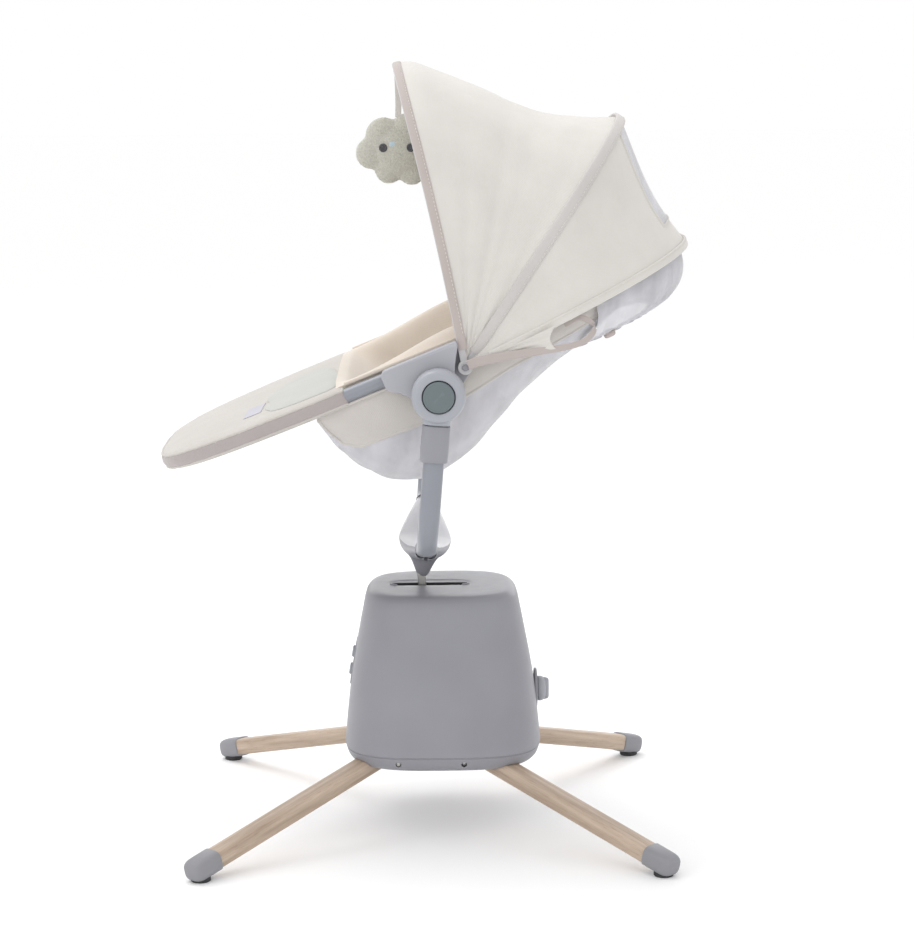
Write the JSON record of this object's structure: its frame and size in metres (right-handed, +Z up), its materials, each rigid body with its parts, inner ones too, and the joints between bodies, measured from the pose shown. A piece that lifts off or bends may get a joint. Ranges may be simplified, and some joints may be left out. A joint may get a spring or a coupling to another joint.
{
  "type": "baby swing",
  "caption": "Motorised baby swing: a reclining seat with a folding two-hoop canopy, carried in a U-shaped yoke that rocks fore and aft on a tapered motor base with splayed wooden legs.",
  "frame": {"origin": "on the floor, under the middle of the bounding box", "axes": "+Z up, +X towards the head end, -X towards the feet and the control panel, +Y towards the baby's right side"},
  "size_m": [0.6884, 0.6218, 1.0101],
  "materials": {
    "grey_plastic": "fine moulded grain",
    "cap_plastic": "fine moulded grain",
    "light_plastic": "satin",
    "button_plastic": "satin",
    "hoop_plastic": "satin",
    "dark_trim": "matte",
    "pad_rubber": "matte",
    "wood": "oiled, straight grain",
    "tube_metal": "satin powder coat",
    "steel": "brushed",
    "brass": "machined",
    "board": "satin",
    "cream_fabric": "plain weave",
    "beige_fabric": "soft knit",
    "mesh_fabric": "open mesh",
    "plush": "short pile",
    "webbing": "woven tape"
  },
  "bodies": {
    "base": {"leg_front_left": "wood", "leg_front_right": "wood", "leg_rear_left": "wood", "leg_rear_right": "wood", "foot_cap_front_left": "cap_plastic", "foot_cap_front_right": "cap_plastic", "foot_cap_rear_left": "cap_plastic", "foot_cap_rear_right": "cap_plastic", "foot_pad_front_left": "pad_rubber", "foot_pad_front_right": "pad_rubber", "foot_pad_rear_left": "pad_rubber", "foot_pad_rear_right": "pad_rubber", "base_housing": "grey_plastic", "slot_bezel": "dark_trim", "chassis": "dark_trim", "motor_bracket": "steel", "swing_bearing_left": "brass", "swing_bearing_right": "brass", "housing_screw_front_left": "steel", "housing_screw_front_right": "steel", "housing_screw_rear_left": "steel", "housing_screw_rear_right": "steel", "base_tray": "grey_plastic", "drive_motor": "steel", "circuit_board": "board", "speaker": "dark_trim", "power_inlet": "dark_trim", "control_panel": "grey_plastic", "dial_flange": "light_plastic"},
    "pinion": {"motor_pinion": "brass"},
    "dial": {"dial": "light_plastic"},
    "button_upper": {"button_upper": "light_plastic"},
    "button_lower": {"button_lower": "light_plastic"},
    "swing": {"pivot_shaft": "steel", "rocker": "steel", "drive_sector": "steel", "yoke_bridge": "grey_plastic", "yoke_arm_left": "tube_metal", "yoke_arm_right": "tube_metal", "arm_sleeve_left": "grey_plastic", "arm_sleeve_right": "grey_plastic", "pivot_hub_left": "grey_plastic", "pivot_hub_right": "grey_plastic"},
    "hub_button_left": {"hub_button_left": "button_plastic"},
    "hub_button_right": {"hub_button_right": "button_plastic"},
    "seat": {"seat_frame": "tube_metal", "foot_pad": "cream_fabric", "seat_sling": "mesh_fabric", "seat_liner": "beige_fabric", "head_skirt": "mesh_fabric", "seat_bracket_left": "grey_plastic", "seat_bracket_right": "grey_plastic", "harness_buckle": "grey_plastic", "canopy_rear_fabric": "cream_fabric"},
    "buckle_button": {"buckle_button": "button_plastic"},
    "canopy_mid": {"canopy_mid_hoop": "hoop_plastic", "canopy_front_fabric": "cream_fabric"},
    "canopy_front": {"canopy_front_hoop": "hoop_plastic"},
    "toy": {"toy_cloud": "plush", "toy_strap": "cream_fabric"}
  },
  "joints": [
    {"name": "swing_rock", "type": "hinge", "parent": "base", "child": "swing", "pos_m": [0.00442, 0, 0.165], "axis": [0, 1, 0], "range_deg": [-9, 14]},
    {"name": "pinion_spin", "type": "hinge", "parent": "base", "child": "pinion", "pos_m": [0.09442, 0, 0.165], "axis": [0, 1, 0], "range_deg": [-56.5, 36.5]},
    {"name": "dial_turn", "type": "hinge", "parent": "base", "child": "dial", "pos_m": [0.15442, 0, 0.172], "axis": [1, 0, 0], "range_deg": [-135, 135]},
    {"name": "button_upper_press", "type": "slide", "parent": "base", "child": "button_upper", "axis": [0.9859, 0, -0.1676], "range_m": [0, 0.002], "stiffness_N_per_m": 400},
    {"name": "button_lower_press", "type": "slide", "parent": "base", "child": "button_lower", "axis": [0.9859, 0, -0.1676], "range_m": [0, 0.002], "stiffness_N_per_m": 400},
    {"name": "seat_recline", "type": "hinge", "parent": "swing", "child": "seat", "pos_m": [0.01792, 0, 0.604], "axis": [0, 1, 0], "range_deg": [-10, 16]},
    {"name": "hub_button_left_press", "type": "slide", "parent": "swing", "child": "hub_button_left", "axis": [0, 1, 0], "range_m": [0, 0.004], "stiffness_N_per_m": 500},
    {"name": "hub_button_right_press", "type": "slide", "parent": "swing", "child": "hub_button_right", "axis": [0, -1, 0], "range_m": [0, 0.004], "stiffness_N_per_m": 500},
    {"name": "buckle_press", "type": "slide", "parent": "seat", "child": "buckle_button", "axis": [0.6672, 0, -0.7448], "range_m": [0, 0.0025], "stiffness_N_per_m": 400},
    {"name": "canopy_fold", "type": "hinge", "parent": "seat", "child": "canopy_mid", "pos_m": [0.05142, 0, 0.636], "axis": [0, 1, 0], "range_deg": [0, 23], "deforming": ["canopy_rear_fabric"]},
    {"name": "canopy_front_fold", "type": "hinge", "parent": "canopy_mid", "child": "canopy_front", "pos_m": [0.05142, 0, 0.636], "axis": [0, 1, 0], "range_deg": [0, 41], "deforming": ["canopy_front_fabric"]},
    {"name": "toy_hang", "type": "hinge", "parent": "canopy_front", "child": "toy", "pos_m": [-0.03058, 0, 1.003], "axis": [0, 1, 0], "range_deg": [-25, 25]}
  ],
  "couplings": [
    {"joint": "pinion_spin", "follows": "swing_rock", "ratio": -4}
  ]
}
